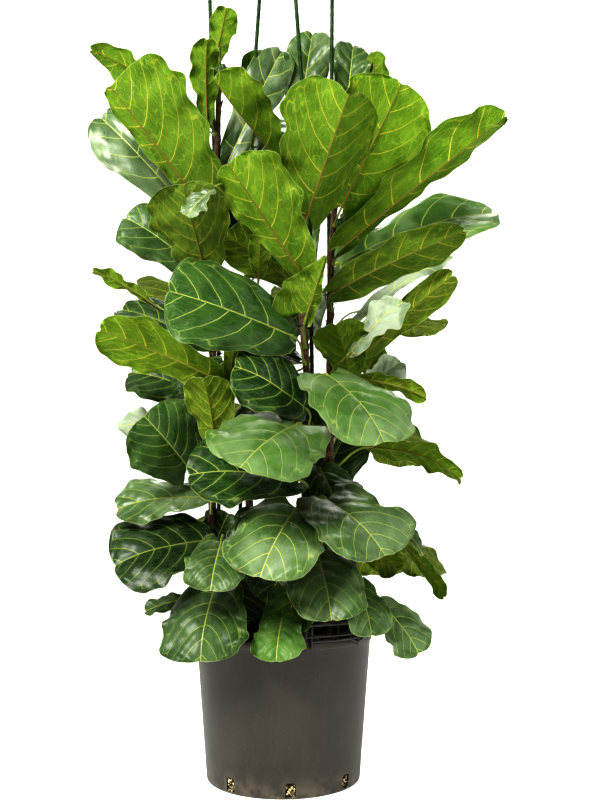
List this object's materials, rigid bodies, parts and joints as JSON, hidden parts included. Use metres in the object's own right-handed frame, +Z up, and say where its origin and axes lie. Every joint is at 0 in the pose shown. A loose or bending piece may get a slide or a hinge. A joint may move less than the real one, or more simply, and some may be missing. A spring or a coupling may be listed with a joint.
{
  "type": "potted fiddle leaf fig",
  "caption": "Tall fiddle leaf fig with large wavy leaves on several stems tied to green stakes, in a round black nursery pot with rim grips.",
  "frame": {"origin": "centre of the pot's underside, on the surface it stands on", "axes": "+Z up along the pot's axis and the stems; -Y towards the front, the side with the fuller foliage; +X to the right seen from the front"},
  "size_m": [0.8852, 0.7098, 1.6],
  "materials": {
    "pot_plastic": "satin black, dusty",
    "substrate": "damp bark and peat mix with pale perlite",
    "grip_plastic": "satin black",
    "bark": "rough brown bark with leaf scars",
    "stake_coating": "dark green pimpled coating",
    "tie_plastic": "matt black",
    "leaf": "waxy upper face, matt yellow-green underside"
  },
  "bodies": {
    "root": {"pot": "pot_plastic", "soil_and_roots": "substrate", "rim_grip_front": "grip_plastic", "rim_grip_back": "grip_plastic", "left_stem": "bark", "left_stake": "stake_coating", "back_left_stem": "bark", "back_left_stake": "stake_coating", "central_stem": "bark", "central_stake": "stake_coating", "right_stem": "bark", "right_stake": "stake_coating", "central_tie_1": "tie_plastic", "central_tie_2": "tie_plastic", "right_tie_3": "tie_plastic", "left_tie_4": "tie_plastic", "left_leaf_1": "leaf", "left_leaf_2": "leaf", "left_leaf_3": "leaf", "left_leaf_4": "leaf", "left_leaf_5": "leaf", "left_leaf_6": "leaf", "left_leaf_7": "leaf", "left_leaf_8": "leaf", "left_leaf_9": "leaf", "left_leaf_10": "leaf", "left_leaf_11": "leaf", "left_leaf_12": "leaf", "back_left_leaf_1": "leaf", "back_left_leaf_2": "leaf", "back_left_leaf_3": "leaf", "back_left_leaf_4": "leaf", "central_leaf_1": "leaf", "central_leaf_2": "leaf", "central_leaf_3": "leaf", "central_leaf_4": "leaf", "central_leaf_5": "leaf", "central_leaf_6": "leaf", "central_leaf_7": "leaf", "central_leaf_8": "leaf", "central_leaf_9": "leaf", "central_leaf_10": "leaf", "central_leaf_11": "leaf", "central_leaf_12": "leaf", "central_leaf_13": "leaf", "central_leaf_14": "leaf", "central_leaf_15": "leaf", "right_leaf_1": "leaf", "right_leaf_2": "leaf", "right_leaf_3": "leaf", "right_leaf_4": "leaf", "right_leaf_5": "leaf", "right_leaf_6": "leaf", "right_leaf_7": "leaf", "right_leaf_8": "leaf", "right_leaf_9": "leaf", "right_leaf_10": "leaf", "right_leaf_11": "leaf", "right_leaf_12": "leaf", "right_leaf_13": "leaf"}
  },
  "joints": []
}
